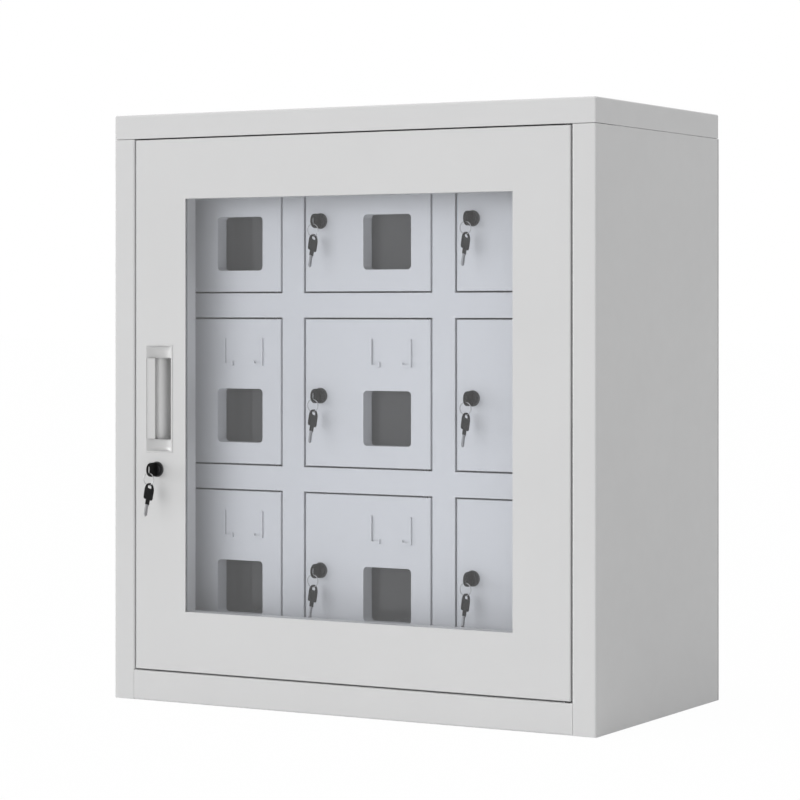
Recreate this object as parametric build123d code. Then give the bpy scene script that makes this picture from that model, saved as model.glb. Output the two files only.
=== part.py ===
"""Cell phone locker box.

A folded steel cabinet with nine small keyed doors in three rows and three columns.
One large glazed and keyed door closes over them all.
Units are millimetres. The origin is the centre of the cabinet's underside.
+Z is up, the doors face -Y, and every hinge is on its door's +X side.
"""
import os

from build123d import *

# ---- cabinet ----
cabinet_width = 595.0
cabinet_depth = 315.0
cabinet_height = 650.0
body_sheet = 1.2
fold_radius = 2.0
seam = 0.6
rail_seam = 0.3
rail_reach = 1.0
cap_skirt = 26.6
cap_lip = 19.0
stile_width = 27.1
stile_return = 23.0
rear_flange = 15.0
base_rail_height = 33.1
base_rail_lip = 19.0
tongue_drop = 18.0
tongue_rise = 16.0

# ---- fixing holes through the back panel ----
fixing_hole_radius = 4.0

# ---- large door ----
outer_side_gap = 1.7
outer_end_gap = 1.5
outer_door_depth = 20.0
window_side_margin = 66.2
window_end_margin = 66.15
glass_thickness = 3.0
glass_overlap = 3.0
glazing_gap = 0.1

# ---- grid of small doors ----
inner_plane_depth = 50.4
columns = 3
rows = 3
side_upright = 27.6
upright_width = 27.2
head_rail = 33.4
rail_height = 26.7
foot_rail_top = 70.6
inner_side_gap = 2.4
inner_end_gap = 1.75
inner_door_depth = 20.0
door_sheet = 1.0
frame_depth = 22.0
partition_sheet = 1.0

# ---- small door details, measured from its centre ----
pane_right_margin = 23.8
pane_bottom_margin = 23.45
pane_width = 59.3
pane_height = 59.7
pane_corner_radius = 4.5
pane_thickness = 2.0
tunnel_depth = 18.0
clip_spacing = 51.3
clip_beyond_pane = 0.8
clip_height = 30.0
clip_above_pane = 25.7
clip_width = 2.6
clip_stand = 2.2
clip_sheet = 0.8
clip_foot = 9.9
clip_tongue_width = 2.2
clip_tongue_height = 5.0
inner_lock_inset = 19.1
inner_lock_z = -3.3

# ---- hinges: a pin near the front corner of each door ----
pivot_from_edge = 5.0
pivot_from_face = 4.2
outer_pin_radius = 2.0
inner_pin_radius = 1.75
pin_clearance = 0.05
pin_reach = 5.0
collar_radius = 3.2
collar_clearance = 0.3

# ---- locks and keys ----
outer_lock_inset = 28.7
outer_lock_drop = 71.45
lock_head_radius = 8.6
lock_head_thickness = 1.2
barrel_radius = 6.0
plug_radius = 4.25
plug_clearance = 0.05
nut_across_corners = 18.5
nut_thickness = 3.0
cam_thickness = 2.0
cam_width = 10.0
cam_end_gap = 1.0
outer_cam_end_gap = 5.4
cam_clearance = 0.3
cam_neck = 6.0
cam_screw_radius = 3.6
cam_screw_height = 2.0
cam_screw_shank = 1.5
cam_screw_length = 4.0
strike_sheet = 1.0
inner_strike_width = 8.0
outer_strike_width = 12.0
strike_half_height = 12.0
stop_gap = 0.3

bow_length = 18.5
bow_width = 15.6
bow_thickness = 2.0
bow_round = 5.5
bow_corner = 2.5
bow_stand = 0.3
key_hole_length = 9.2
key_hole_width = 3.2
key_hole_rim = 2.0
neck_length = 5.5
neck_width = 6.0
blade_length = 13.3
blade_width = 4.6
blade_thickness = 1.8
blade_clearance = 0.1
ring_radius = 6.6
ring_wire = 0.5
ring_play = 0.45
ring_slack = 0.25
spare_lean = 15.0
spare_offset = 2.4

# ---- pull handle ----
handle_inset = 13.5
handle_width = 35.9
handle_rise = 6.75
handle_height = 119.6
handle_cap_height = 15.1
handle_plate_width = 12.2
handle_proud = 0.5
handle_rim = 1.2
handle_lap = 0.8
handle_fit = 0.1
handle_dish_depth = 5.0
handle_wall = 1.5
handle_plate_sink = 0.7
grip_right_lip = 2.2
grip_step = 4.5
grip_shelf = 3.0
grip_shoulder = 7.0
grip_depth = 17.2
grip_undercut = 4.0
grip_wall = 1.0

# ---- places worked out from the sizes above ----
half_width = cabinet_width / 2
front = -cabinet_depth / 2
back = cabinet_depth / 2
inside_x = half_width - body_sheet
cap_bottom = cabinet_height - cap_skirt
cap_inside = cabinet_height - body_sheet
wall_top = cap_bottom - seam
wall_back = back - body_sheet
floor_back = wall_back - fold_radius
stile_inner = half_width - stile_width
panel_front = front + inner_plane_depth
frame_back = panel_front + frame_depth

outer_left = -stile_inner + outer_side_gap
outer_right = stile_inner - outer_side_gap
outer_bottom = base_rail_height + outer_end_gap
outer_top = cap_bottom - outer_end_gap
outer_mid_z = (outer_bottom + outer_top) / 2
outer_back = front + outer_door_depth
window_half = outer_right - window_side_margin
window_bottom = outer_bottom + window_end_margin
window_top = outer_top - window_end_margin
outer_lock_x = outer_left + outer_lock_inset
outer_lock_z = outer_mid_z - outer_lock_drop
handle_left = outer_left + handle_inset
handle_bottom = outer_mid_z + handle_rise - handle_height / 2

grid_top = cap_inside - head_rail
grid_centre_height = (grid_top + foot_rail_top) / 2
opening_width = (2 * (inside_x - side_upright) - (columns - 1) * upright_width) / columns
opening_height = (grid_top - foot_rail_top - (rows - 1) * rail_height) / rows
column_pitch = opening_width + upright_width
row_pitch = opening_height + rail_height
door_width = opening_width - 2 * inner_side_gap
door_height = opening_height - 2 * inner_end_gap
inner_lock_x = -door_width / 2 + inner_lock_inset
pane_x = door_width / 2 - pane_right_margin - pane_width / 2
pane_z = -door_height / 2 + pane_bottom_margin + pane_height / 2
bar_width = (bow_width - key_hole_length) / 2
bar_centre = (bow_width - bar_width) / 2
ring_below_lock = bar_centre + ring_radius - ring_wire - bar_width / 2 - ring_play


def column_x(column):
    """Centre of a column; column 1 is on the left."""
    return (column - (columns + 1) / 2) * column_pitch


def row_z(row):
    """Centre of a row; row 1 is at the top."""
    return grid_centre_height + ((rows + 1) / 2 - row) * row_pitch


def block(x0, x1, y0, y1, z0, z1):
    """Box given by its low and high faces."""
    return Pos((x0 + x1) / 2, (y0 + y1) / 2, (z0 + z1) / 2) * Box(x1 - x0, y1 - y0, z1 - z0)


def upright_rod(x, y, z0, z1, radius):
    """Cylinder that stands along Z."""
    return Pos(x, y, (z0 + z1) / 2) * Cylinder(radius, z1 - z0)


def front_rod(x, z, y0, y1, radius):
    """Cylinder that lies along Y."""
    return Pos(x, (y0 + y1) / 2, z) * Rot(90, 0, 0) * Cylinder(radius, y1 - y0)


def folded_profile(points, sheet):
    """Section of a folded sheet; the points run along its outer side with the inside on the left."""
    outline = FilletPolyline(*points, radius=fold_radius)
    return make_face(offset(outline, amount=sheet, side=Side.LEFT))


def prism_z(profile, z0, z1):
    """Extrude an XY section from z0 to z1."""
    return extrude(Pos(0, 0, z0) * profile, z1 - z0)


def save(name, *solids):
    """Write one node; several solids stay separate in it."""
    shape = solids[0] if len(solids) == 1 else Compound(children=list(solids))
    export_step(shape, os.path.join("parts", name + ".step"))


# ---------------------------------------------------------------- cabinet body
def top_cap():
    """Lid tray with a skirt all round and a lip behind the front skirt."""
    tray = block(-half_width, half_width, front, back, cap_bottom, cabinet_height)
    folds = tray.edges().filter_by(Axis.Z) + tray.edges().filter_by(Plane.XY).group_by(Axis.Z)[-1]
    tray = fillet(folds, fold_radius)
    tray -= block(-inside_x, inside_x, front + body_sheet, wall_back, cap_bottom - 1, cap_inside)
    lip = block(-inside_x, inside_x, front + body_sheet, front + cap_lip, cap_bottom, cap_bottom + body_sheet)
    hole = upright_rod(outer_pivot_x(), outer_pivot_y(), cap_bottom - 1, cap_bottom + 2, outer_pin_radius)
    return tray + lip - hole


def left_side():
    """Side wall folded round into the front stile and a rear flange, with a tongue up into the cap."""
    points = [
        (-half_width + rear_flange, wall_back),
        (-half_width, wall_back),
        (-half_width, front),
        (-stile_inner, front),
        (-stile_inner, front + stile_return),
    ]
    wall = prism_z(folded_profile(points, body_sheet), 0, wall_top)
    wall -= block(
        -stile_inner - rail_reach, -stile_inner + 1,
        front - 1, front + stile_return + 1,
        -1, base_rail_height + rail_seam,
    )
    tongue = block(
        -inside_x, -inside_x + body_sheet,
        frame_back + 2, wall_back - 2 * fold_radius,
        wall_top - tongue_drop, wall_top + tongue_rise,
    )
    return wall + tongue


def outer_strike():
    """Tab behind the left stile that the large door's cam turns behind."""
    y0 = outer_back + stop_gap
    return block(
        -stile_inner, -stile_inner + outer_strike_width,
        y0, y0 + body_sheet,
        outer_lock_z - 1.5 * strike_half_height, outer_lock_z + strike_half_height / 2,
    )


def back_panel():
    """Flat back sheet with four fixing holes, one into each corner compartment."""
    panel = block(-half_width, half_width, wall_back, back, 0, wall_top)
    for column in (1, columns):
        for row in (1, rows):
            panel -= front_rod(column_x(column), row_z(row), wall_back - 1, back + 1, fixing_hole_radius)
    return panel


def bottom_panel():
    """Base sheet that folds up into the rail under the large door."""
    points = [
        (front + base_rail_lip, base_rail_height),
        (front, base_rail_height),
        (front, 0),
        (floor_back, 0),
    ]
    half_rail = stile_inner + rail_reach - rail_seam
    section = Plane.YZ * folded_profile(points, body_sheet)
    rail = Pos(-half_rail, 0, 0) * extrude(section, 2 * half_rail, dir=(1, 0, 0))
    sheet_front = front + stile_return + 2 * rail_seam
    for side in (-1, 1):
        x0, x1 = sorted((side * (half_rail - 1), side * inside_x))
        rail += block(x0, x1, sheet_front, floor_back, 0, body_sheet)
    z0 = base_rail_height - 2 * body_sheet
    return rail - upright_rod(outer_pivot_x(), outer_pivot_y(), z0, base_rail_height + 1, outer_pin_radius)


# ---------------------------------------------------------------- grid behind the large door
def channel(x0, x1, z0, z1, open_ends):
    """U channel with its web to the front; it is hollow along its length."""
    shell = block(x0, x1, panel_front, frame_back, z0, z1)
    wall = body_sheet
    if open_ends == "z":
        hollow = block(x0 + wall, x1 - wall, panel_front + wall, frame_back + 1, z0 - 1, z1 + 1)
    else:
        hollow = block(x0 - 1, x1 + 1, panel_front + wall, frame_back + 1, z0 + wall, z1 - wall)
    return shell - hollow


def opening_edges(row):
    """Lowest and highest Z of a row's door openings."""
    return row_z(row) - opening_height / 2, row_z(row) + opening_height / 2


def locker_uprights():
    """Four uprights; the outer two reach the side walls."""
    solids = []
    for index in range(columns + 1):
        x0 = -inside_x if index == 0 else column_x(index) + opening_width / 2
        x1 = inside_x if index == columns else column_x(index + 1) - opening_width / 2
        solids.append(channel(x0, x1, body_sheet, cap_inside, "z"))
    return solids


def locker_rails():
    """Rails between the uprights, above, between and below the doors, bored for the hinge rods."""
    edges = [opening_edges(row) for row in range(1, rows + 1)]
    spans = [(edges[0][1], cap_inside)]
    spans += [(edges[i + 1][1], edges[i][0]) for i in range(rows - 1)]
    spans.append((body_sheet, edges[-1][0]))
    solids = []
    for column in range(1, columns + 1):
        x0 = column_x(column) - opening_width / 2
        for z0, z1 in spans:
            rail = channel(x0, x0 + opening_width, z0, z1, "x")
            bore = upright_rod(inner_pivot_x(column), inner_pivot_y(), z0 - 1, z1 + 1, inner_pin_radius)
            solids.append(rail - bore)
    return solids


def inner_strikes():
    """Tabs at the left of each opening that stop the door and hold its cam."""
    y0 = panel_front + inner_door_depth + stop_gap
    solids = []
    for column in range(1, columns + 1):
        x0 = column_x(column) - opening_width / 2
        for row in range(1, rows + 1):
            z = row_z(row) + inner_lock_z
            x1 = x0 + inner_strike_width
            solids.append(block(x0, x1, y0, y0 + strike_sheet, z - strike_half_height, z + strike_half_height))
    return solids


def compartment_partitions():
    """Dividers between the columns and a floor under each compartment."""
    half = partition_sheet / 2
    dividers = []
    for index in range(1, columns):
        x = (column_x(index) + column_x(index + 1)) / 2
        dividers.append(block(x - half, x + half, frame_back, wall_back, body_sheet, cap_inside))
    floors = []
    for column in range(1, columns + 1):
        x0 = -inside_x if column == 1 else (column_x(column - 1) + column_x(column)) / 2 + half
        x1 = inside_x if column == columns else (column_x(column) + column_x(column + 1)) / 2 - half
        for row in range(1, rows + 1):
            top = opening_edges(row)[0]
            floors.append(block(x0, x1, frame_back, floor_back, top - partition_sheet, top))
    return dividers + floors


# ---------------------------------------------------------------- hinge pins
def outer_pivot_x():
    return outer_right - pivot_from_edge


def outer_pivot_y():
    return front + pivot_from_face


def inner_pivot_x(column):
    return column_x(column) + door_width / 2 - pivot_from_edge


def inner_pivot_y():
    return panel_front + pivot_from_face


def hinge_pins():
    """Pins of the large door, and rods through the rails for the small doors."""
    x, y = outer_pivot_x(), outer_pivot_y()
    upper = upright_rod(x, y, outer_top - pin_reach, cap_bottom + 2 * pin_reach, outer_pin_radius)
    lower = upright_rod(x, y, base_rail_height - 2 * pin_reach, outer_bottom + pin_reach, outer_pin_radius)
    collar_top = outer_bottom - collar_clearance
    lower += upright_rod(x, y, base_rail_height, collar_top, collar_radius)
    pins = [upper, lower]
    edges = [opening_edges(row) for row in range(1, rows + 1)]
    reach = inner_end_gap + pin_reach
    spans = [(edges[0][1] - reach, edges[0][1] + reach, None)]
    spans += [(edges[i + 1][1] - reach, edges[i][0] + reach, edges[i][0]) for i in range(rows - 1)]
    spans.append((edges[-1][0] - reach, edges[-1][0] + reach, edges[-1][0]))
    for column in range(1, columns + 1):
        x, y = inner_pivot_x(column), inner_pivot_y()
        for z0, z1, seat in spans:
            rod = upright_rod(x, y, z0, z1, inner_pin_radius)
            if seat is not None:
                rod += upright_rod(x, y, seat, seat + inner_end_gap - collar_clearance, collar_radius)
            pins.append(rod)
    return pins


# ---------------------------------------------------------------- locks and keys
def bow_outline():
    """Key bow in its own XY plane: the round end is at x = 0 and the neck leaves at x = bow_length."""
    half = bow_width / 2
    corner = bow_length - bow_corner
    shoulder = half - 1.5 * bow_corner
    sides = Polyline(
        (bow_round, -half), (corner, -half), (bow_length, -shoulder),
        (bow_length, shoulder), (corner, half), (bow_round, half), close=True,
    )
    return Pos(bow_round, 0) * Ellipse(bow_round, half) + make_face(sides)


def key_plate():
    """Whole key lying in the XY plane, with its blade along +X."""
    bow = extrude(bow_outline(), bow_thickness / 2, both=True)
    hole_end = key_hole_rim + key_hole_width
    half = key_hole_length / 2
    hole = extrude(
        make_face(Polyline(
            (hole_end, -half), (hole_end, half), (key_hole_rim + key_hole_width / 2, half),
            (key_hole_rim, half - 2), (key_hole_rim, -half + 2),
            (key_hole_rim + key_hole_width / 2, -half), close=True,
        )),
        bow_thickness, both=True,
    )
    neck_end = bow_length + neck_length
    neck = Pos((bow_length - 1 + neck_end) / 2, 0) * Box(neck_length + 1, neck_width, bow_thickness)
    tip = neck_end + blade_length
    side = blade_width / 2
    blade = extrude(
        make_face(Polyline(
            (neck_end - 1, -side), (tip - side, -side), (tip, 0), (tip - side, side),
            (neck_end - 1, side), close=True,
        )),
        blade_thickness / 2, both=True,
    )
    return bow + neck + blade - hole


def key_in_lock(x, z, face):
    """Key pushed in along +Y with its bow upright."""
    y = face - lock_head_thickness - bow_stand - bow_length
    return Pos(x, y, z) * Rot(0, 90, 0) * Rot(0, 0, 90) * key_plate()


def key_hole_y(face):
    """Depth of the middle of the inserted key's hole."""
    return face - lock_head_thickness - bow_stand - bow_length + key_hole_rim + key_hole_width / 2


def spare_key(x, z, face):
    """Wire ring through the inserted key's bow, with the second key hanging in it."""
    y = key_hole_y(face)
    ring_z = z - ring_below_lock
    ring = Pos(x, y, ring_z) * Rot(90, 0, 0) * Torus(ring_radius, ring_wire)
    hang = Pos(x, y, ring_z - ring_radius) * Rot(-spare_lean, 0, 0)
    plate = Rot(0, 90, 0) * key_plate()
    lowered = Pos(0, spare_offset, ring_wire + ring_slack + key_hole_rim) * plate
    return [ring, hang * lowered]


def lock_body(x, z, face, sheet, depth):
    """Barrel with its head in front of the door, and the nut behind the door's sheet."""
    end = face + depth - cam_clearance
    barrel = front_rod(x, z, face - lock_head_thickness, face, lock_head_radius)
    barrel = fillet(barrel.edges().group_by(Axis.Y)[0], lock_head_thickness / 2)
    barrel += front_rod(x, z, face, end, barrel_radius)
    barrel -= front_rod(x, z, face - lock_head_thickness - 1, end + 1, plug_radius + plug_clearance)
    hexagon = Pos(x, face + sheet + nut_thickness, z) * Rot(90, 0, 0) * RegularPolygon(nut_across_corners / 2, 6)
    nut = extrude(hexagon, nut_thickness, dir=(0, -1, 0))
    nut -= front_rod(x, z, face, end, barrel_radius)
    return [barrel, nut]


def lock_turning(x, z, face, depth, reach):
    """Plug, cam, cam screw and the inserted key, which turn together; the cam hangs down when unlocked."""
    cam_front = face + depth
    cam_back = cam_front + cam_thickness
    neck = cam_neck / 2
    plug = front_rod(x, z, face - lock_head_thickness, cam_front, plug_radius)
    plug += block(x - neck, x + neck, cam_front, cam_back, z - neck, z + neck)
    shoulder = face - lock_head_thickness - bow_stand
    slots = (
        (neck_width, bow_thickness, neck_length + 5 * blade_clearance),
        (blade_width, blade_thickness, neck_length + blade_length + 1),
    )
    for width, thickness, length in slots:
        side = width / 2 + blade_clearance
        half = thickness / 2 + blade_clearance
        plug -= block(x - half, x + half, shoulder - 1, shoulder + length, z - side, z + side)
    plug -= front_rod(x, z, cam_back - cam_screw_length, cam_back + 1, cam_screw_shank)
    cam = block(x - cam_width / 2, x + cam_width / 2, cam_front, cam_back, z - reach, z + cam_width / 2)
    cam = fillet(cam.edges().filter_by(Axis.Y), cam_width / 4)
    cam -= block(x - neck, x + neck, cam_front - 1, cam_back + 1, z - neck, z + neck)
    screw = front_rod(x, z, cam_back, cam_back + cam_screw_height, cam_screw_radius + 0.8)
    screw += front_rod(x, z, cam_back - cam_screw_length, cam_back, cam_screw_shank)
    return [plug, cam, screw, key_in_lock(x, z, face)]


# ---------------------------------------------------------------- large door
def outer_door_panel():
    """Front skin folded back on four sides, cut for the window, handle, lock and hinge pins."""
    pan = block(outer_left, outer_right, front, outer_back, outer_bottom, outer_top)
    pan = fillet(pan.edges().filter_by(Plane.XZ).group_by(Axis.Y)[0], body_sheet)
    pan -= block(
        outer_left + body_sheet, outer_right - body_sheet, front + body_sheet, outer_back + 1,
        outer_bottom + body_sheet, outer_top - body_sheet,
    )
    pan -= block(-window_half, window_half, front - 1, front + 2 * body_sheet, window_bottom, window_top)
    pan -= handle_block(handle_lap, front - 1, front + 2 * body_sheet)
    pan -= front_rod(outer_lock_x, outer_lock_z, front - 1, front + 2 * body_sheet, barrel_radius)
    bore = outer_pin_radius + pin_clearance
    return pan - upright_rod(outer_pivot_x(), outer_pivot_y(), outer_bottom - 1, outer_top + 1, bore)


def outer_door_glass():
    """Pane behind the window opening."""
    y0 = front + body_sheet + glazing_gap
    return window_block(glass_overlap, y0, y0 + glass_thickness)


def window_block(margin, y0, y1):
    """Block as large as the window opening and a margin on all four sides."""
    half = window_half + margin
    return block(-half, half, y0, y1, window_bottom - margin, window_top + margin)


def outer_door_liner():
    """Inner skin of the large door, folded forward round the window into a rebate for the glass."""
    side = body_sheet
    y1 = outer_back
    y0 = y1 - body_sheet
    glass_back = front + body_sheet + 2 * glazing_gap + glass_thickness
    skin = block(outer_left + side, outer_right - side, y0, y1, outer_bottom + side, outer_top - side)
    liner = skin + window_block(body_sheet, glass_back, y1)
    rebate = glass_overlap + glazing_gap
    liner += window_block(rebate + body_sheet, front + body_sheet, glass_back + body_sheet)
    liner -= window_block(rebate, front, glass_back)
    liner -= window_block(0, front, y1 + 1)
    return liner - front_rod(outer_lock_x, outer_lock_z, y0 - 1, y1 + 1, barrel_radius + 2 * glazing_gap)


def grip_mouth():
    """Opening of the finger recess in the front of the handle."""
    x0 = handle_left + handle_plate_width
    x1 = handle_left + handle_width - grip_right_lip
    return x0, x1, handle_bottom + handle_cap_height, handle_bottom + handle_height - handle_cap_height


def handle_block(margin, y0, y1):
    """Block as large as the handle's outline less a margin on all four sides."""
    x0, x1 = handle_left + margin, handle_left + handle_width - margin
    return block(x0, x1, y0, y1, handle_bottom + margin, handle_bottom + handle_height - margin)


def recess_section(wall):
    """Section of the finger recess, which falls over a round shoulder into a pocket on the right."""
    x0, x1, z0, z1 = grip_mouth()
    side, far = x0 - wall, x1 + grip_undercut + wall
    behind, deep = front + body_sheet, front + grip_depth + wall
    corner, start = x0 + grip_shelf, front + grip_step + wall
    radius = grip_shoulder - wall
    foot = start + radius
    half = radius * 0.5 ** 0.5
    return make_face(
        Polyline((far, behind), (side, behind), (side, start), (corner, start))
        + ThreePointArc((corner, start), (corner + half, foot - half), (corner + radius, foot))
        + Polyline((corner + radius, foot), (corner + radius, deep), (far, deep), (far, behind))
    )


def pull_handle():
    """One moulding let into the skin: a rim, a dished end above and below, a plate and a finger recess."""
    x0, x1, z0, z1 = grip_mouth()
    top = handle_bottom + handle_height
    face = front - handle_proud
    seat = handle_lap + handle_fit
    body = handle_block(seat, front, face + handle_dish_depth + handle_wall)
    body -= block(x0 - grip_wall, handle_left + handle_width, front + body_sheet, front + grip_depth, z0, z1)
    body -= block(handle_left, x0, face + handle_plate_sink + handle_wall, front + grip_depth, z0, z1)
    body += handle_block(0, face, front)
    body += prism_z(recess_section(grip_wall), z0 - grip_wall, z1 + grip_wall)
    half = handle_width / 2 - handle_rim
    radius = (half ** 2 + handle_dish_depth ** 2) / (2 * handle_dish_depth)
    for low, high in ((handle_bottom + handle_rim, z0), (z1, top - handle_rim)):
        body -= upright_rod(
            handle_left + handle_width / 2, face + handle_dish_depth - radius, low, high, radius
        )
    body -= prism_z(recess_section(0), z0, z1)
    body -= block(x0, x1, face - 1, front + body_sheet, z0, z1)
    body -= block(handle_left + handle_rim, x0, face - 1, face + handle_plate_sink, z0, z1)
    return body


# ---------------------------------------------------------------- small doors, made at the grid's centre
def small_door_panel():
    """Folded pan with a window tunnel and two clips for a name card."""
    half_x, half_z = door_width / 2, door_height / 2
    y0, y1 = panel_front, panel_front + inner_door_depth
    pan = block(-half_x, half_x, y0, y1, -half_z, half_z)
    pan = fillet(pan.edges().filter_by(Plane.XZ).group_by(Axis.Y)[0], door_sheet)
    pan -= block(
        -half_x + door_sheet, half_x - door_sheet, y0 + door_sheet, y1 + 1,
        -half_z + door_sheet, half_z - door_sheet,
    )
    section = RectangleRounded(pane_width, pane_height, pane_corner_radius)
    wider = RectangleRounded(
        pane_width + 2 * door_sheet, pane_height + 2 * door_sheet, pane_corner_radius + door_sheet
    )
    tunnel = extrude(Rot(90, 0, 0) * wider, tunnel_depth, dir=(0, 1, 0))
    window = extrude(Rot(90, 0, 0) * section, inner_door_depth + 2, dir=(0, 1, 0))
    pan += Pos(pane_x, y0, pane_z) * tunnel
    pan -= Pos(pane_x, y0 - 1, pane_z) * window
    pan -= front_rod(inner_lock_x, inner_lock_z, y0 - 1, y0 + 2 * door_sheet, barrel_radius)
    x = half_x - pivot_from_edge
    pan -= upright_rod(x, y0 + pivot_from_face, -half_z - 1, half_z + 1, inner_pin_radius + pin_clearance)
    return [pan] + card_clips()


def card_clips():
    """Left and right clips: an upright lip that turns in over the card, and a foot with a raised end."""
    right = pane_x + pane_width / 2 + clip_beyond_pane
    bottom = pane_z + pane_height / 2 + clip_above_pane
    solids = []
    for side, x in ((1, right - clip_spacing), (-1, right)):
        y0 = panel_front - clip_stand
        rise_x0, rise_x1 = sorted((x, x + side * clip_sheet))
        lip_x0, lip_x1 = sorted((x, x + side * clip_width))
        foot_x0, foot_x1 = sorted((x, x + side * (clip_width + clip_foot)))
        clip = block(rise_x0, rise_x1, y0, panel_front, bottom, bottom + clip_height)
        clip += block(lip_x0, lip_x1, y0, y0 + clip_sheet, bottom, bottom + clip_height)
        clip += block(foot_x0, foot_x1, y0, panel_front, bottom, bottom + clip_sheet)
        clip += block(foot_x0, foot_x1, y0, y0 + clip_sheet, bottom, bottom + clip_width)
        end = x + side * (clip_width + clip_foot)
        tongue_x0, tongue_x1 = sorted((end, end - side * clip_tongue_width))
        clip += block(tongue_x0, tongue_x1, y0, y0 + clip_sheet, bottom, bottom + clip_tongue_height)
        solids.append(clip)
    return solids


def small_door_pane():
    """Clear pane on the back of the window tunnel."""
    y0 = panel_front + tunnel_depth
    return Pos(pane_x, y0 + pane_thickness / 2, pane_z) * Box(
        pane_width + 2 * door_sheet, pane_thickness, pane_height + 2 * door_sheet
    )


def small_door_set():
    """Every piece of one small door, keyed by the end of its node's name."""
    depth = inner_door_depth + stop_gap + strike_sheet + cam_clearance
    reach = inner_lock_x + opening_width / 2 - cam_end_gap
    x, z = inner_lock_x, inner_lock_z
    return {
        "": small_door_panel(),
        "_window": [small_door_pane()],
        "_lock": lock_body(x, z, panel_front, door_sheet, depth),
        "_key": lock_turning(x, z, panel_front, depth, reach),
        "_spare_key": spare_key(x, z, panel_front),
    }


def main():
    os.makedirs("parts", exist_ok=True)
    left = left_side()
    save("top_cap", top_cap())
    save("left_side_panel", left, outer_strike())
    save("right_side_panel", mirror(left, Plane.YZ))
    save("back_panel", back_panel())
    save("bottom_panel", bottom_panel())
    save("locker_frame", *locker_uprights(), *locker_rails(), *inner_strikes())
    save("compartment_partitions", *compartment_partitions())
    save("hinge_pins", *hinge_pins())

    depth = outer_door_depth + stop_gap + body_sheet + cam_clearance
    reach = outer_lock_x + stile_inner - outer_cam_end_gap
    save("outer_door_panel", outer_door_panel())
    save("outer_door_window", outer_door_glass())
    save("outer_door_liner", outer_door_liner())
    save("pull_handle", pull_handle())
    save("outer_lock_barrel", *lock_body(outer_lock_x, outer_lock_z, front, body_sheet, depth))
    save("outer_lock_key", *lock_turning(outer_lock_x, outer_lock_z, front, depth, reach))
    save("outer_spare_key", *spare_key(outer_lock_x, outer_lock_z, front))

    pieces = small_door_set()
    for row in range(1, rows + 1):
        for column in range(1, columns + 1):
            place = Pos(column_x(column), 0, row_z(row))
            for ending, solids in pieces.items():
                name = "door_r%dc%d%s" % (row, column, ending)
                save(name, *[place * solid for solid in solids])


main()
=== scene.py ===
"""Looks for the cell phone locker box: powder-coated steel, glass, locks, keys and the pull handle."""
import math

import bmesh
import bpy
from mathutils import Matrix, Vector


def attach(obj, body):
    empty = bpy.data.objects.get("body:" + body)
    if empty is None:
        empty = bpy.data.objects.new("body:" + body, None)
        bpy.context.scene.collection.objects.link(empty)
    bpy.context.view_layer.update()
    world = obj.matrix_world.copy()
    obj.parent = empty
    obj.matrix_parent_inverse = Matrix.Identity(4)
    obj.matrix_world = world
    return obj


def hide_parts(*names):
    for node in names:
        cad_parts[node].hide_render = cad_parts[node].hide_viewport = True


MM = 0.001
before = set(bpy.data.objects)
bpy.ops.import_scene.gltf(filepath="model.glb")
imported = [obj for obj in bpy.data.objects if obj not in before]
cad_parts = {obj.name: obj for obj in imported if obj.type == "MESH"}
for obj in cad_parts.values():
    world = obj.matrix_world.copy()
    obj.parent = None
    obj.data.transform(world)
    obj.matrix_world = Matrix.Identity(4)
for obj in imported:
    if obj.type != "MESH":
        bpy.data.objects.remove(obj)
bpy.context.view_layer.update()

# ---- sizes shared with the cabinet, in millimetres ----
FRONT = -157.5
GRID_FRONT = -107.1
COLUMN_X = (-188.2, 0.0, 188.2)
ROW_Z = (533.5, 343.0, 152.5)
SMALL_LOCK = (-59.0, -3.3)
LARGE_LOCK = (-240.0, 256.8)


# ---------------------------------------------------------------- material helpers
NOISE_LOW = 0.3
NOISE_HIGH = 0.7
GLOSS_FINER = 7


def new_material(name):
    """Material with an empty node tree and its output node."""
    material = bpy.data.materials.new(name)
    material.use_nodes = True
    nodes = material.node_tree.nodes
    nodes.clear()
    output = nodes.new("ShaderNodeOutputMaterial")
    return material, nodes, material.node_tree.links, output


def noise(nodes, links, scale, detail=2.0, stretch=(1, 1, 1), roughness=0.5):
    """Noise on object coordinates; scale counts cells in a metre."""
    place = nodes.new("ShaderNodeTexCoord")
    mapping = nodes.new("ShaderNodeMapping")
    mapping.inputs["Scale"].default_value = stretch
    texture = nodes.new("ShaderNodeTexNoise")
    texture.inputs["Scale"].default_value = scale
    texture.inputs["Detail"].default_value = detail
    texture.inputs["Roughness"].default_value = roughness
    links.new(place.outputs["Object"], mapping.inputs["Vector"])
    links.new(mapping.outputs["Vector"], texture.inputs["Vector"])
    return texture.outputs["Fac"]


def maths(nodes, links, operation, first, second):
    """One arithmetic step on two numbers or sockets."""
    step = nodes.new("ShaderNodeMath")
    step.operation = operation
    for socket, value in zip(step.inputs, (first, second)):
        if isinstance(value, float):
            socket.default_value = value
        else:
            links.new(value, socket)
    return step.outputs["Value"]


def spread(nodes, links, value, low, high):
    """Remap the range that a noise mostly fills onto low to high."""
    remap = nodes.new("ShaderNodeMapRange")
    remap.inputs["From Min"].default_value = NOISE_LOW
    remap.inputs["From Max"].default_value = NOISE_HIGH
    remap.inputs["To Min"].default_value = low
    remap.inputs["To Max"].default_value = high
    links.new(value, remap.inputs["Value"])
    return remap.outputs["Result"]


def shade_between(nodes, links, value, dark, light):
    """Colour that runs from dark to light with a 0 to 1 value."""
    mix = nodes.new("ShaderNodeMix")
    mix.data_type = "RGBA"
    mix.inputs["A"].default_value = (*dark, 1)
    mix.inputs["B"].default_value = (*light, 1)
    links.new(value, mix.inputs["Factor"])
    return mix.outputs["Result"]


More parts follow.
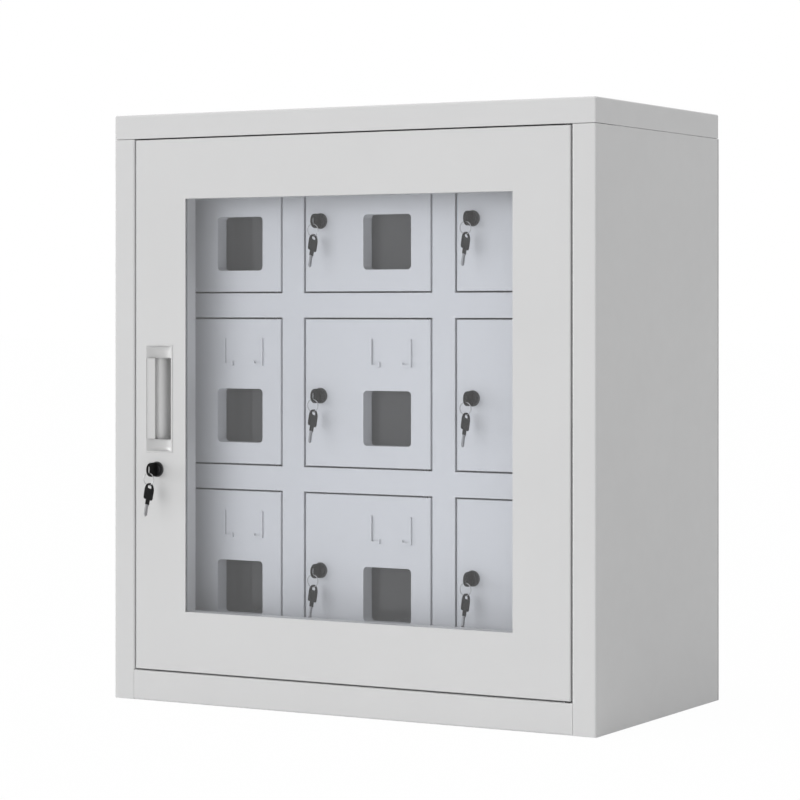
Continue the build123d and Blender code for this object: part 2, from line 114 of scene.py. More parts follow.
def bumped(nodes, links, shader, height, distance, strength=1.0):
    """Bump a shader by a height value; distance is in metres."""
    bump = nodes.new("ShaderNodeBump")
    bump.inputs["Strength"].default_value = strength
    bump.inputs["Distance"].default_value = distance
    links.new(height, bump.inputs["Height"])
    links.new(bump.outputs["Normal"], shader.inputs["Normal"])


def coated(name, dark, light, roughness, metallic=0.0, specular=0.5, mottle=9.0, peel=1500.0,
           peel_depth=0.00002, coat=0.0):
    """Opaque surface with slow colour variation, varied gloss and a fine skin texture."""
    material, nodes, links, output = new_material(name)
    shader = nodes.new("ShaderNodeBsdfPrincipled")
    shader.inputs["Metallic"].default_value = metallic
    shader.inputs["Specular IOR Level"].default_value = specular
    shader.inputs["Coat Weight"].default_value = coat
    slow = noise(nodes, links, mottle, 4.0)
    links.new(shade_between(nodes, links, slow, dark, light), shader.inputs["Base Color"])
    gloss = noise(nodes, links, mottle * GLOSS_FINER, 3.0)
    links.new(spread(nodes, links, gloss, roughness[0], roughness[1]), shader.inputs["Roughness"])
    bumped(nodes, links, shader, noise(nodes, links, peel, 1.5), peel_depth)
    links.new(shader.outputs["BSDF"], output.inputs["Surface"])
    return material


def clear_sheet(name, tint, edge_tint, roughness, fresnel_ior, haze=0.0):
    """Sheet that lets light straight through, scatters the share haze and mirrors on its outer faces."""
    material, nodes, links, output = new_material(name)
    clear = nodes.new("ShaderNodeBsdfTransparent")
    faint = noise(nodes, links, 3.0, 2.0)
    links.new(shade_between(nodes, links, faint, edge_tint, tint), clear.inputs["Color"])
    scatter = nodes.new("ShaderNodeBsdfDiffuse")
    body = nodes.new("ShaderNodeMixShader")
    body.inputs["Fac"].default_value = haze
    links.new(clear.outputs["BSDF"], body.inputs[1])
    links.new(scatter.outputs["BSDF"], body.inputs[2])
    mirror = nodes.new("ShaderNodeBsdfGlossy")
    mirror.inputs["Roughness"].default_value = roughness
    fresnel = nodes.new("ShaderNodeFresnel")
    fresnel.inputs["IOR"].default_value = fresnel_ior
    geometry = nodes.new("ShaderNodeNewGeometry")
    outside = maths(nodes, links, "SUBTRACT", 1.0, geometry.outputs["Backfacing"])
    facing = maths(nodes, links, "MULTIPLY", fresnel.outputs["Fac"], outside)
    mix = nodes.new("ShaderNodeMixShader")
    links.new(facing, mix.inputs["Fac"])
    links.new(body.outputs["Shader"], mix.inputs[1])
    links.new(mirror.outputs["BSDF"], mix.inputs[2])
    links.new(mix.outputs["Shader"], output.inputs["Surface"])
    return material


grey_coat = coated("grey_powder_coat", (0.594, 0.595, 0.597), (0.627, 0.628, 0.629), (0.42, 0.52))
# painted light: the frame, partitions and small doors wear the same grey paint as the outer sheet; here it
# is painted lighter and bluer to stand in for the light and blue tint they get through the door glass
grid_coat_painted_light = coated("grid_coat_with_painted_light", (0.685, 0.693, 0.714), (0.72, 0.728, 0.749), (0.44, 0.54))
handle_coat = coated("handle_moulded_grey", (0.55, 0.55, 0.55), (0.58, 0.58, 0.58), (0.3, 0.38),
                     mottle=30.0, peel=3000.0, peel_depth=0.00001)
lock_black = coated("lock_black_enamel", (0.022, 0.022, 0.023), (0.03, 0.03, 0.032), (0.2, 0.32),
                    mottle=200.0, peel=4000.0, peel_depth=0.000004, coat=0.3)
bow_black = coated("key_bow_rubbery_black", (0.004, 0.004, 0.004), (0.008, 0.008, 0.008), (0.3, 0.42),
                   specular=0.15, mottle=250.0, peel=6000.0, peel_depth=0.00001)
plug_metal = coated("lock_plug_dark_metal", (0.06, 0.06, 0.065), (0.09, 0.09, 0.095), (0.3, 0.42),
                    metallic=0.7, mottle=400.0, peel=5000.0, peel_depth=0.000006)
key_steel = coated("key_blade_steel", (0.33, 0.33, 0.34), (0.4, 0.4, 0.41), (0.26, 0.38),
                   metallic=1.0, mottle=300.0, peel=7000.0, peel_depth=0.000006)
bright_wire = coated("ring_bright_wire", (0.42, 0.42, 0.43), (0.5, 0.5, 0.51), (0.3, 0.4),
                     metallic=1.0, mottle=300.0, peel=7000.0, peel_depth=0.000003)
zinc_steel = coated("zinc_plated_steel", (0.5, 0.5, 0.5), (0.6, 0.6, 0.59), (0.28, 0.42),
                    metallic=1.0, mottle=120.0, peel=5000.0, peel_depth=0.000006)
dark_steel = coated("oiled_dark_steel", (0.05, 0.05, 0.05), (0.08, 0.08, 0.078), (0.35, 0.5),
                    metallic=0.8, mottle=120.0, peel=5000.0, peel_depth=0.000006)
door_glass = clear_sheet("door_glass", (0.978, 0.984, 0.995), (0.97, 0.977, 0.99), 0.02, 1.82)
clear_pane = clear_sheet("viewing_pane", (0.94, 0.94, 0.95), (0.905, 0.91, 0.92), 0.05, 1.5, haze=0.04)


# ---------------------------------------------------------------- mesh helpers
def finish_piece(name, bm, material, body, *nodes, slot=None, smooth=35.0, flat_over=20.0):
    """Turn a bmesh in millimetres into a piece that rides on a body and stands for CAD nodes.

    Edges sharper than smooth degrees stay sharp; faces over flat_over square millimetres stay flat.
    """
    bmesh.ops.remove_doubles(bm, verts=bm.verts, dist=0.0005)
    bmesh.ops.recalc_face_normals(bm, faces=bm.faces)
    for face in bm.faces:
        face.smooth = True
    bmesh.ops.scale(bm, vec=(MM, MM, MM), verts=bm.verts)
    mesh = bpy.data.meshes.new(name)
    bm.to_mesh(mesh)
    bm.free()
    mesh.materials.append(material)
    piece = bpy.data.objects.new(name, mesh)
    bpy.context.scene.collection.objects.link(piece)
    mesh.set_sharp_from_angle(angle=math.radians(smooth))
    for polygon in mesh.polygons:
        if polygon.area > flat_over * MM * MM:
            polygon.use_smooth = False
    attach(piece, body)
    if nodes:
        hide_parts(*nodes)
    return piece


def lathe(bm, profile, steps=40):
    """Spin (radius, depth) points about the Y axis; depth runs along +Y."""
    before = set(bm.verts)
    points = [bm.verts.new((radius, depth, 0)) for radius, depth in profile]
    edges = [bm.edges.new(pair) for pair in zip(points, points[1:])]
    bmesh.ops.spin(bm, geom=points + edges, cent=(0, 0, 0), axis=(0, 1, 0), dvec=(0, 0, 0),
                   angle=2 * math.pi, steps=steps, space=Matrix.Identity(4), use_merge=True)
    return [v for v in bm.verts if v not in before]


def move(bm, verts, matrix):
    """Carry vertices by a matrix."""
    bmesh.ops.transform(bm, matrix=matrix, verts=list(verts), space=Matrix.Identity(4))


def box_at(bm, low, high, bevel=0.0, segments=2):
    """Cuboid between two corners, with its edges rounded."""
    size = [b - a for a, b in zip(low, high)]
    centre = [(a + b) / 2 for a, b in zip(low, high)]
    matrix = Matrix.Translation(centre) @ Matrix.Diagonal((*size, 1))
    made = bmesh.ops.create_cube(bm, size=1, matrix=matrix)["verts"]
    if not bevel:
        return made
    before = set(bm.verts) - set(made)
    edges = list({e for v in made for e in v.link_edges})
    bmesh.ops.bevel(bm, geom=edges, offset=bevel, offset_type="OFFSET", segments=segments, profile=0.5,
                    affect="EDGES", clamp_overlap=True, material=-1)
    return [v for v in bm.verts if v not in before]


# ---------------------------------------------------------------- keys
KEY_TIP = 37.3

BOW_LENGTH = 18.5
BOW_ROUND = 8.0
BOW_HALF = 7.8
BOW_THICKNESS = 2.0
BOW_EDGE = 0.45
BOW_STAND = 0.3

HOLE_RIM = 2.0
HOLE_HALF_WIDTH = 1.6
HOLE_HALF_LENGTH = 4.6
HOLE_DROP = 2.5
HOLE_CENTRE = HOLE_RIM + HOLE_HALF_WIDTH

# powers of the superellipses: 2 is a round end, more is squarer
ROUND_POWER = 2.0
HOLE_POWER = 4.0
BOW_POWER = 9.0
OUTLINE_SIDES = 48

NECK_END = 24.0
NECK_HALF = 3.0
NECK_HALF_THICKNESS = 0.95
NECK_EDGE = 0.3
NECK_IN_BOW = 1.5

BLADE_HALF = 2.3
BLADE_THICKNESS = 1.6
BLADE_IN_NECK = 1.0
BLADE_STEPS = 24
BLADE_STRIPS = 6
BLADE_POINT = 2.3
CUT_FROM = 0.6
CUT_DEPTHS = (0.0, 0.0, 0.0, 0.0, 0.0, 0.5, 0.9, 0.9, 0.4, 0.4, 1.0, 1.0, 0.3, 0.3, 0.7, 0.7, 0.2, 0.5,
              0.9, 0.4, 0.2)
GROOVE_Y = -0.3
GROOVE_HALF = 0.5
GROOVE_TO_TIP = 3.0
GROOVE_THINNING = 0.55

WIRE = 0.5
WIRE_SIDES = 10
RING_STEPS = 48
RING_RADIUS = 6.6
RING_BELOW = 10.25
SPARE_LEAN = 15.0
SPARE_OFFSET = 2.4
SPARE_SLACK = 0.25


def superellipse_ring(bm, centre, half_x_low, half_x_high, half_y, power_low, power_high):
    """Closed loop of edges in the XY plane, rounder on one side of its centre than on the other."""
    made = bmesh.ops.create_circle(bm, cap_ends=False, radius=1.0, segments=OUTLINE_SIDES)["verts"]
    for v in made:
        x, y = v.co.x, v.co.y
        half_x, power = (half_x_high, power_high) if x > 0 else (half_x_low, power_low)
        size = (abs(x) ** power + abs(y) ** power) ** (-1 / power)
        v.co = (centre + x * size * half_x, y * size * half_y, 0)
    return list({e for v in made for e in v.link_edges})


def thicken(bm, before, thickness):
    """Give the flat faces made since before a thickness, half of it on each side of the XY plane."""
    faces = [f for f in bm.faces if not (set(f.verts) & before)]
    lifted = bmesh.ops.extrude_face_region(bm, geom=faces)["geom"]
    top = [v for v in lifted if isinstance(v, bmesh.types.BMVert)]
    bmesh.ops.translate(bm, verts=top, vec=(0, 0, thickness))
    made = [v for v in bm.verts if v not in before]
    bmesh.ops.translate(bm, verts=made, vec=(0, 0, -thickness / 2))
    return made


def key_bow(bm):
    """Moulded bow lying in XY: the round end is at x = 0 and the blade leaves at +X."""
    before = set(bm.verts)
    outer = superellipse_ring(bm, BOW_ROUND, BOW_ROUND, BOW_LENGTH - BOW_ROUND, BOW_HALF,
                              ROUND_POWER, BOW_POWER)
    inner = superellipse_ring(bm, HOLE_CENTRE, HOLE_HALF_WIDTH, HOLE_DROP, HOLE_HALF_LENGTH,
                              ROUND_POWER, HOLE_POWER)
    bmesh.ops.bridge_loops(bm, edges=outer + inner)
    made = thicken(bm, before, BOW_THICKNESS)
    rims = [e for e in {e for v in made for e in v.link_edges}
            if len(e.link_faces) == 2 and e.calc_face_angle(0) > math.radians(60)]
    bmesh.ops.bevel(bm, geom=rims, offset=BOW_EDGE, offset_type="OFFSET", segments=3, profile=0.5,
                    affect="EDGES", clamp_overlap=True, material=-1)
    box_at(bm, (BOW_LENGTH - NECK_IN_BOW, -NECK_HALF, -NECK_HALF_THICKNESS),
           (NECK_END, NECK_HALF, NECK_HALF_THICKNESS), bevel=NECK_EDGE)
    return [v for v in bm.verts if v not in before]


def key_blade(bm):
    """Steel blade with a pointed tip, a groove along each face and cuts along one edge."""
    before = set(bm.verts)
    start = NECK_END - BLADE_IN_NECK
    length = KEY_TIP - start
    grid = bmesh.ops.create_grid(bm, x_segments=BLADE_STEPS, y_segments=BLADE_STRIPS, size=0.5)
    for v in grid["verts"]:
        along = v.co.x + 0.5
        side = v.co.y * 2
        x = start + along * length
        taper = max(0.0, min(1.0, (KEY_TIP - x) / BLADE_POINT))
        half = BLADE_HALF * taper
        y = side * half
        if side > CUT_FROM:
            cut = CUT_DEPTHS[min(int(round(along * BLADE_STEPS)), len(CUT_DEPTHS) - 1)]
            y = max(0.0, y - cut * taper)
        v.co = (x, y, 0)
    made = thicken(bm, before, BLADE_THICKNESS)
    for v in made:
        if abs(v.co.y - GROOVE_Y) < GROOVE_HALF and NECK_END < v.co.x < KEY_TIP - GROOVE_TO_TIP:
            v.co.z *= GROOVE_THINNING
    return made


def key_start(face):
    """Depth at which the round end of a key lies when it is pushed into a lock on a door's face."""
    return face - HEAD_THICKNESS - BOW_STAND - BOW_LENGTH


def key_pose(x, z, face):
    """Place a key pushed into a lock: its bow stands upright and points towards -Y."""
    turn = Matrix.Rotation(math.radians(90), 4, "Y") @ Matrix.Rotation(math.radians(90), 4, "Z")
    return Matrix.Translation((x, key_start(face), z)) @ turn


def spare_pose(x, z, face):
    """Place the spare key hanging in the ring."""
    hang = Matrix.Translation((x, key_start(face) + HOLE_CENTRE, z - RING_BELOW - RING_RADIUS))
    lean = Matrix.Rotation(math.radians(-SPARE_LEAN), 4, "X")
    offset = Matrix.Translation((0, SPARE_OFFSET, WIRE + SPARE_SLACK + HOLE_RIM))
    return hang @ lean @ offset @ Matrix.Rotation(math.radians(90), 4, "Y")


def ring_pose(x, z, face):
    """Place the ring so that it hangs through the bow of the key in the lock."""
    return Matrix.Translation((x, key_start(face) + HOLE_CENTRE, z - RING_BELOW))


def key_pieces(label, pose, body, node):
    """Black bow and steel blade of one key."""
    bm = bmesh.new()
    move(bm, key_bow(bm), pose)
    finish_piece(label + "_bow", bm, bow_black, body, node, slot="key_metal")
    bm = bmesh.new()
    move(bm, key_blade(bm), pose)
    finish_piece(label + "_blade", bm, key_steel, body, node, slot="key_metal", smooth=25.0)


def key_ring(label, pose, body, node):
    """Ring of round wire that carries the spare key."""
    bm = bmesh.new()
    wire = bmesh.ops.create_circle(bm, cap_ends=False, radius=WIRE, segments=WIRE_SIDES,
                                   matrix=Matrix.Translation((RING_RADIUS, 0, 0)))["verts"]
    edges = list({e for v in wire for e in v.link_edges})
    bmesh.ops.spin(bm, geom=wire + edges, cent=(0, 0, 0), axis=(0, 1, 0), dvec=(0, 0, 0),
                   angle=2 * math.pi, steps=RING_STEPS, space=Matrix.Identity(4), use_merge=True)
    move(bm, bm.verts, pose)
    finish_piece(label + "_ring", bm, bright_wire, body, node, slot="key_metal")


# ---------------------------------------------------------------- locks
BARREL_RADIUS = 6.0
BORE_RADIUS = 4.32
HEAD_RADIUS = 8.6
HEAD_THICKNESS = 1.2
# head's rounded rim: how far in from its radius, and how far it stands off the door
HEAD_RIM = ((0.25, 0.0), (0.0, 0.25), (0.0, 0.75), (0.15, 1.05), (0.5, HEAD_THICKNESS))
# groove round the plug: radius, and how far it stands off the door
HEAD_GROOVE = ((5.6, HEAD_THICKNESS), (5.2, 1.0), (4.75, 1.0), (4.45, 1.15), (BORE_RADIUS, 1.0))

PLUG_RADIUS = 4.2
PLUG_PROUD = 0.9
PLUG_EDGE = 0.3
PLUG_EDGE_DEPTH = 0.25
PLUG_END_RADIUS = 3.0
PLUG_END_SLOPE = 0.5

NUT_RADIUS = 9.0
NUT_START = 1.2
NUT_END = 4.0

CAM_HALF = 5.0
CAM_THICKNESS = 2.0
CAM_EDGE = 0.5
CAM_GAP = 0.1
SCREW_HEIGHT = 2.0
SCREW_CROWN = 0.8
SCREW_RADII = (3.4, 4.2, 4.4)

LARGE_LOCK_LENGTH = 21.8
LARGE_CAM_REACH = 25.0
SMALL_LOCK_LENGTH = 21.6
SMALL_CAM_REACH = 20.5


def lock_barrel(label, at_door, depth, body, node):
    """Head with a rounded rim and a groove round the plug, on a bored barrel."""
    profile = [(BARREL_RADIUS, depth), (BARREL_RADIUS, 0.0)]
    profile += [(HEAD_RADIUS - inward, -proud) for inward, proud in HEAD_RIM]
    profile += [(radius, -proud) for radius, proud in HEAD_GROOVE]
    profile += [(BORE_RADIUS, depth), (BARREL_RADIUS, depth)]
    bm = bmesh.new()
    move(bm, lathe(bm, profile), at_door)
    finish_piece(label + "_barrel", bm, lock_black, body, node, slot="lock_black")


def lock_nut(label, at_door, body, node):
    """Six-sided nut that clamps the barrel behind the door's sheet."""
    profile = [(BARREL_RADIUS, NUT_START), (NUT_RADIUS, NUT_START), (NUT_RADIUS, NUT_END),
               (BARREL_RADIUS, NUT_END), (BARREL_RADIUS, NUT_START)]
    bm = bmesh.new()
    move(bm, lathe(bm, profile, steps=6), at_door)
    finish_piece(label + "_nut", bm, zinc_steel, body, node, slot="lock_black", smooth=20.0)


def lock_plug(label, at_door, depth, body, node):
    """Plug that the key turns inside the barrel."""
    profile = [(0.0, -PLUG_PROUD), (PLUG_RADIUS - PLUG_EDGE, -PLUG_PROUD),
               (PLUG_RADIUS, PLUG_EDGE_DEPTH - PLUG_PROUD), (PLUG_RADIUS, depth - PLUG_END_SLOPE),
               (PLUG_END_RADIUS, depth), (0.0, depth)]
    bm = bmesh.new()
    move(bm, lathe(bm, profile, steps=32), at_door)
    finish_piece(label + "_plug", bm, plug_metal, body, node, slot="key_metal")


def lock_cam(label, x, z, back, reach, body, node):
    """Cam plate and its screw; back is the depth of the barrel's end."""
    bm = bmesh.new()
    box_at(bm, (x - CAM_HALF, back + CAM_GAP, z - reach), (x + CAM_HALF, back + CAM_THICKNESS, z + CAM_HALF),
           bevel=CAM_EDGE)
    top = CAM_THICKNESS + SCREW_HEIGHT
    crown, shoulder, foot = SCREW_RADII
    screw = [(0.0, top), (crown, top), (shoulder, top - SCREW_CROWN), (foot, CAM_THICKNESS),
             (0.0, CAM_THICKNESS)]
    move(bm, lathe(bm, screw, steps=24), Matrix.Translation((x, back, z)))
    finish_piece(label + "_cam", bm, zinc_steel, body, node, slot="key_metal")


def dress_lock(label, x, z, face, bodies, nodes, depth, reach):
    """All pieces of the lock at (x, z) on a door's face: depth is its length, reach that of its cam."""
    door_body, turn_body, spare_body = bodies
    lock_node, key_node, spare_node = nodes
    at_door = Matrix.Translation((x, face, z))
    lock_barrel(label, at_door, depth, door_body, lock_node)
    lock_nut(label, at_door, door_body, lock_node)
    lock_plug(label, at_door, depth, turn_body, key_node)
    lock_cam(label, x, z, face + depth, reach, turn_body, key_node)
    key_pieces(label + "_key", key_pose(x, z, face), turn_body, key_node)
    key_pieces(label + "_spare", spare_pose(x, z, face), spare_body, spare_node)
    key_ring(label, ring_pose(x, z, face), spare_body, spare_node)


# ---------------------------------------------------------------- pull handle
HANDLE_LEFT = -255.2
HANDLE_RIGHT = -219.3
HANDLE_LOW = 275.2
HANDLE_HIGH = 394.8
HANDLE_PROUD = 0.5
HANDLE_SEAT = 0.9
CAP_HEIGHT = 15.1
CAP_BACK = 6.0
DISH_HALF = 16.75
DISH_DEPTH = 5.0
DISH_RADIUS = (DISH_HALF ** 2 + DISH_DEPTH ** 2) / (2 * DISH_DEPTH)
DISH_START = 0.95
DISH_SLOPE = 1.95
RIM_EDGE = 0.35
RIM_EDGE_FALL = 0.25
# grid lines of a dished end, closer together where it curves
FROM_SIDE = (0.0, 0.12, 0.35, 1.05, 1.2, 1.4, 1.8, 2.6, 4.2, 6.5, 9.0, 12.0, 15.0)
FROM_END = (0.0, 0.12, 0.35, 0.95, 1.15, 1.4, 1.7, 2.0, 2.3, 2.6, 2.9, 7.0, 11.0, CAP_HEIGHT)

RIM_COVE = 0.3
PLATE_WIDTH = 12.2
PLATE_SINK = 0.2
PLATE_EDGE = 0.6
PLATE_WALL = 1.5
SHELF_WIDTH = 3.0
SHELF_DEPTH = 4.5
SHELF_COVE = 0.8
SHOULDER_RADIUS = 7.0
SHOULDER_WALL = 1.0
POCKET_DEPTH = 17.2
POCKET_COVE = 2.0
POCKET_PAST_EDGE = 1.8
POCKET_TOP = 1.25
POCKET_WALL = 0.9
POCKET_RIGHT_WALL = 0.95
LIP_WIDTH = 2.2
LIP_BACK = 1.2
LIP_EDGE = 0.4


def eased(value):
    """Smooth step from 0 to 1."""
    value = max(0.0, min(1.0, value))
    return value * value * (3 - 2 * value)


def dished_end(bm, outer, inner):
    """End of the moulding: a low rim on three sides of a dish that opens towards the finger recess.

    The first extrusion also leaves two faces lying on each other across the dish's open end.
    """
    before = set(bm.verts)
    width = HANDLE_RIGHT - HANDLE_LEFT
    across = list(FROM_SIDE) + [width / 2] + [width - x for x in reversed(FROM_SIDE)]
    grid = bmesh.ops.create_grid(bm, x_segments=len(across) - 1, y_segments=len(FROM_END) - 1, size=0.5)
    up = 1 if inner > outer else -1
    for v in grid["verts"]:
        x = across[int(round((v.co.x + 0.5) * (len(across) - 1)))]
        z = FROM_END[int(round((v.co.y + 0.5) * (len(FROM_END) - 1)))]
        side = min(x, width - x)
        middle = abs(x - width / 2)
        dish = max(0.0, math.sqrt(DISH_RADIUS ** 2 - middle ** 2) - DISH_RADIUS + DISH_DEPTH)
        fall = sum(RIM_EDGE_FALL * max(0.0, 1 - edge / RIM_EDGE) ** 2 for edge in (side, z))
        depth = fall + dish * eased((z - DISH_START) / DISH_SLOPE) - HANDLE_PROUD
        v.co = (HANDLE_LEFT + x, FRONT + depth, outer + up * z)
    shell = [f for f in bm.faces if not (set(f.verts) & before)]
    for seat, back in ((0.0, 0.0), (HANDLE_SEAT, 0.0), (HANDLE_SEAT, CAP_BACK)):
        above = shell
        shell = bmesh.ops.extrude_face_region(bm, geom=above)["geom"]
        if seat:
            bmesh.ops.delete(bm, geom=above, context="FACES")
        for v in (each for each in shell if isinstance(each, bmesh.types.BMVert)):
            x = min(max(v.co.x, HANDLE_LEFT + seat), HANDLE_RIGHT - seat)
            z = max(up * v.co.z, up * outer + seat) * up
            v.co = (x, FRONT + back, z)
        shell = [each for each in shell if isinstance(each, bmesh.types.BMFace)]


def upright_prism(bm, outline, low, high):
    """Extrude a closed outline of (x, depth) points upwards."""
    base = bm.faces.new([bm.verts.new((x, FRONT + depth, low)) for x, depth in outline])
    lifted = bmesh.ops.extrude_face_region(bm, geom=[base])["geom"]
    top = [v for v in lifted if isinstance(v, bmesh.types.BMVert)]
    bmesh.ops.translate(bm, verts=top, vec=(0, 0, high - low))


def arc_points(x, depth, radius, start, end, steps):
    """Points of an arc in the (x, depth) plane, from one angle to another in degrees."""
    turns = [math.radians(start + (end - start) * step / steps) for step in range(steps + 1)]
    return [(x + radius * math.cos(turn), depth + radius * math.sin(turn)) for turn in turns]


def plate_and_recess(bm, low, high):
    """Flat plate beside a finger recess that falls over a round shoulder into a pocket on the right."""
    rim_x = HANDLE_LEFT + HANDLE_SEAT
    plate_right = HANDLE_LEFT + PLATE_WIDTH
    plate_back = plate_right - POCKET_WALL
    shoulder_x = plate_right + SHELF_WIDTH
    shoulder_depth = SHELF_DEPTH + SHOULDER_RADIUS
    pocket_left = shoulder_x + SHOULDER_RADIUS
    pocket_right = HANDLE_RIGHT + POCKET_PAST_EDGE
    cove_depth = POCKET_DEPTH - POCKET_COVE
    wall_right = pocket_right + POCKET_RIGHT_WALL
    wall_back = POCKET_DEPTH + POCKET_WALL

    inside = arc_points(HANDLE_LEFT + RIM_EDGE, RIM_EDGE - HANDLE_PROUD, RIM_EDGE, 180, 270, 4)
    inside += arc_points(rim_x, RIM_COVE - HANDLE_PROUD, RIM_COVE, 270, 360, 4)
    inside += arc_points(rim_x + 2 * RIM_COVE, PLATE_SINK - RIM_COVE, RIM_COVE, 180, 90, 3)
    inside += arc_points(plate_right - PLATE_EDGE, PLATE_SINK + PLATE_EDGE, PLATE_EDGE, 270, 360, 5)
    inside += arc_points(plate_right + SHELF_COVE, SHELF_DEPTH - SHELF_COVE, SHELF_COVE, 180, 90, 5)
    inside += arc_points(shoulder_x, shoulder_depth, SHOULDER_RADIUS, 270, 360, 14)
    inside += arc_points(pocket_left + POCKET_COVE, cove_depth, POCKET_COVE, 180, 90, 5)
    inside += arc_points(pocket_right - POCKET_COVE, cove_depth, POCKET_COVE, 90, 0, 5)
    inside += [(pocket_right, POCKET_TOP)]
    behind_pocket = [(wall_right, POCKET_TOP), (wall_right, wall_back),
                     (pocket_left - POCKET_WALL, wall_back)]
    behind_pocket += arc_points(shoulder_x, shoulder_depth, SHOULDER_RADIUS - SHOULDER_WALL, 360, 270, 8)
    behind_pocket += [(plate_back, SHELF_DEPTH + SHOULDER_WALL)]
    behind_plate = [(plate_back, PLATE_SINK + PLATE_WALL), (rim_x, PLATE_SINK + PLATE_WALL), (rim_x, 0.0),
                    (HANDLE_LEFT, 0.0)]
    upright_prism(bm, inside + behind_pocket + behind_plate, low, high)

    pocket_end = [(plate_back, POCKET_TOP), *behind_pocket]
    upright_prism(bm, pocket_end, low - POCKET_WALL, low)
    upright_prism(bm, pocket_end, high, high + POCKET_WALL)

    lip_left = HANDLE_RIGHT - LIP_WIDTH + LIP_EDGE
    lip = arc_points(lip_left, LIP_BACK - LIP_EDGE, LIP_EDGE, 90, 180, 4)
    lip += arc_points(lip_left, LIP_EDGE - HANDLE_PROUD, LIP_EDGE, 180, 270, 4)
    lip += arc_points(HANDLE_RIGHT - RIM_EDGE, RIM_EDGE - HANDLE_PROUD, RIM_EDGE, 270, 360, 4)
    lip += [(HANDLE_RIGHT, 0.0), (HANDLE_RIGHT - HANDLE_SEAT, 0.0), (HANDLE_RIGHT - HANDLE_SEAT, LIP_BACK)]
    upright_prism(bm, lip, low, high)


def pull_handle():
    """Both dished ends, and between them the plate, the finger recess and the lip."""
    inner_low, inner_high = HANDLE_LOW + CAP_HEIGHT, HANDLE_HIGH - CAP_HEIGHT
    bm = bmesh.new()
    dished_end(bm, HANDLE_LOW, inner_low)
    dished_end(bm, HANDLE_HIGH, inner_high)
    finish_piece("handle_dished_ends", bm, handle_coat, "large_door", "pull_handle", slot="grey_plastic",
                 smooth=50.0, flat_over=60.0)
    bm = bmesh.new()
    plate_and_recess(bm, inner_low, inner_high)
    finish_piece("handle_plate_and_recess", bm, handle_coat, "large_door", "pull_handle",
                 slot="grey_plastic", smooth=50.0, flat_over=250.0)


# ---------------------------------------------------------------- finishes of the folded steel
def coat_cabinet():
    """Put a finish on every solid, also on those that dressed pieces stand for."""
    inner = ("locker_frame", "compartment_partitions", "door_")
    for name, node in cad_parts.items():
        if name == "outer_door_window":
            coat = door_glass
        elif name.endswith("_window"):
            coat = clear_pane
        elif name == "hinge_pins":
            coat = dark_steel
        # painted light: the parts behind the door glass get the lighter, bluer copy of the grey coat
        elif name.startswith(inner):
            coat = grid_coat_painted_light
        else:
            coat = grey_coat
        node.data.materials.clear()
        node.data.materials.append(coat)


# ---------------------------------------------------------------- studio
WORLD_LIGHT = 0.5
FLOOR_WHITE = 0.975
FLOOR_GREY = (0.85, 0.85, 0.85, 1)
FLOOR_HALF = 30.0

# the camera stands in front and to the right, level, with the frame shifted instead of tilted
CAMERA_PLACE = (1.5189, -2.7104, 0.4350)
CAMERA_TURN = 29.589
CAMERA_LENS = 125.48
CAMERA_SENSOR = 36.0
CAMERA_SHIFT = -0.1146


def studio_world():
    """Even light from all round; the camera, mirrors and glass see plain white."""
    world = bpy.data.worlds.new("studio")
    bpy.context.scene.world = world
    world.use_nodes = True
    nodes, links = world.node_tree.nodes, world.node_tree.links
    nodes.clear()
    output = nodes.new("ShaderNodeOutputWorld")
    lit = nodes.new("ShaderNodeBackground")
    lit.inputs["Color"].default_value = (1, 1, 1, 1)
    lit.inputs["Strength"].default_value = WORLD_LIGHT
    seen = nodes.new("ShaderNodeBackground")
    seen.inputs["Color"].default_value = (1, 1, 1, 1)
    seen.inputs["Strength"].default_value = 1.0
    mix = nodes.new("ShaderNodeMixShader")
    links.new(seen_directly(nodes, links), mix.inputs["Fac"])
    links.new(lit.outputs["Background"], mix.inputs[1])
    links.new(seen.outputs["Background"], mix.inputs[2])
    links.new(mix.outputs["Shader"], output.inputs["Surface"])


def seen_directly(nodes, links):
    """1 for rays from the camera, from mirrors and through glass."""
    path = nodes.new("ShaderNodeLightPath").outputs
    direct = maths(nodes, links, "MAXIMUM", path["Is Camera Ray"], path["Is Glossy Ray"])
    return maths(nodes, links, "MAXIMUM", direct, path["Is Transmission Ray"])


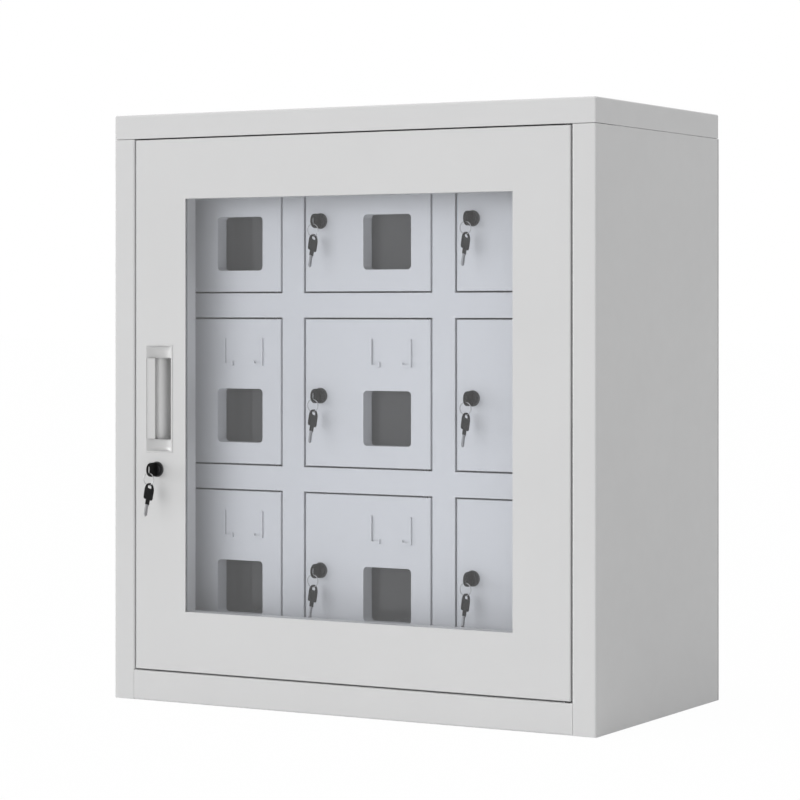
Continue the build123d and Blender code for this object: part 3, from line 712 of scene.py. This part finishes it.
def studio_floor():
    """Plain white floor that keeps a faint shadow."""
    material, nodes, links, output = new_material("studio_floor")
    matt = nodes.new("ShaderNodeBsdfDiffuse")
    matt.inputs["Color"].default_value = FLOOR_GREY
    white = nodes.new("ShaderNodeEmission")
    white.inputs["Strength"].default_value = 1.0
    mix = nodes.new("ShaderNodeMixShader")
    links.new(maths(nodes, links, "MULTIPLY", seen_directly(nodes, links), FLOOR_WHITE), mix.inputs["Fac"])
    links.new(matt.outputs["BSDF"], mix.inputs[1])
    links.new(white.outputs["Emission"], mix.inputs[2])
    links.new(mix.outputs["Shader"], output.inputs["Surface"])
    bm = bmesh.new()
    bmesh.ops.create_grid(bm, x_segments=1, y_segments=1, size=FLOOR_HALF)
    mesh = bpy.data.meshes.new("studio_floor")
    bm.to_mesh(mesh)
    bm.free()
    mesh.materials.append(material)
    floor = bpy.data.objects.new("studio_floor", mesh)
    bpy.context.scene.collection.objects.link(floor)


def studio_sun(name, towards, strength, softness, mirrored=False):
    """Sun that shines towards a direction; softness is its width in degrees."""
    data = bpy.data.lights.new(name, "SUN")
    data.energy = strength
    data.angle = math.radians(softness)
    sun = bpy.data.objects.new(name, data)
    sun.rotation_euler = Vector(towards).to_track_quat("-Z", "Y").to_euler()
    sun.visible_glossy = mirrored
    bpy.context.scene.collection.objects.link(sun)


def studio_camera():
    """Long lens from the front right."""
    data = bpy.data.cameras.new("camera")
    data.sensor_width = CAMERA_SENSOR
    data.lens = CAMERA_LENS
    data.shift_y = CAMERA_SHIFT
    data.clip_end = 100.0
    camera = bpy.data.objects.new("camera", data)
    camera.location = CAMERA_PLACE
    camera.rotation_euler = (math.radians(90), 0, math.radians(CAMERA_TURN))
    bpy.context.scene.collection.objects.link(camera)
    bpy.context.scene.camera = camera


coat_cabinet()
pull_handle()
dress_lock("large_lock", *LARGE_LOCK, FRONT, ("large_door", "large_lock_turn", "large_spare_key"),
           ("outer_lock_barrel", "outer_lock_key", "outer_spare_key"), LARGE_LOCK_LENGTH, LARGE_CAM_REACH)
for row, row_z in enumerate(ROW_Z, 1):
    for column, column_x in enumerate(COLUMN_X, 1):
        at = "r%dc%d" % (row, column)
        dress_lock("lock_" + at, column_x + SMALL_LOCK[0], row_z + SMALL_LOCK[1], GRID_FRONT,
                   ("small_door_" + at, "lock_turn_" + at, "spare_key_" + at),
                   ("door_%s_lock" % at, "door_%s_key" % at, "door_%s_spare_key" % at),
                   SMALL_LOCK_LENGTH, SMALL_CAM_REACH)

studio_world()
studio_floor()
studio_sun("key_light", (0.407, 0.913, -0.04), strength=1.55, softness=48)
studio_sun("side_light", (0.963, 0.205, -0.17), strength=1.0, softness=20, mirrored=True)
studio_sun("top_light", (0.02, 0.05, -1.0), strength=1.3, softness=20)
studio_camera()
bpy.context.scene.view_settings.view_transform = "Standard"
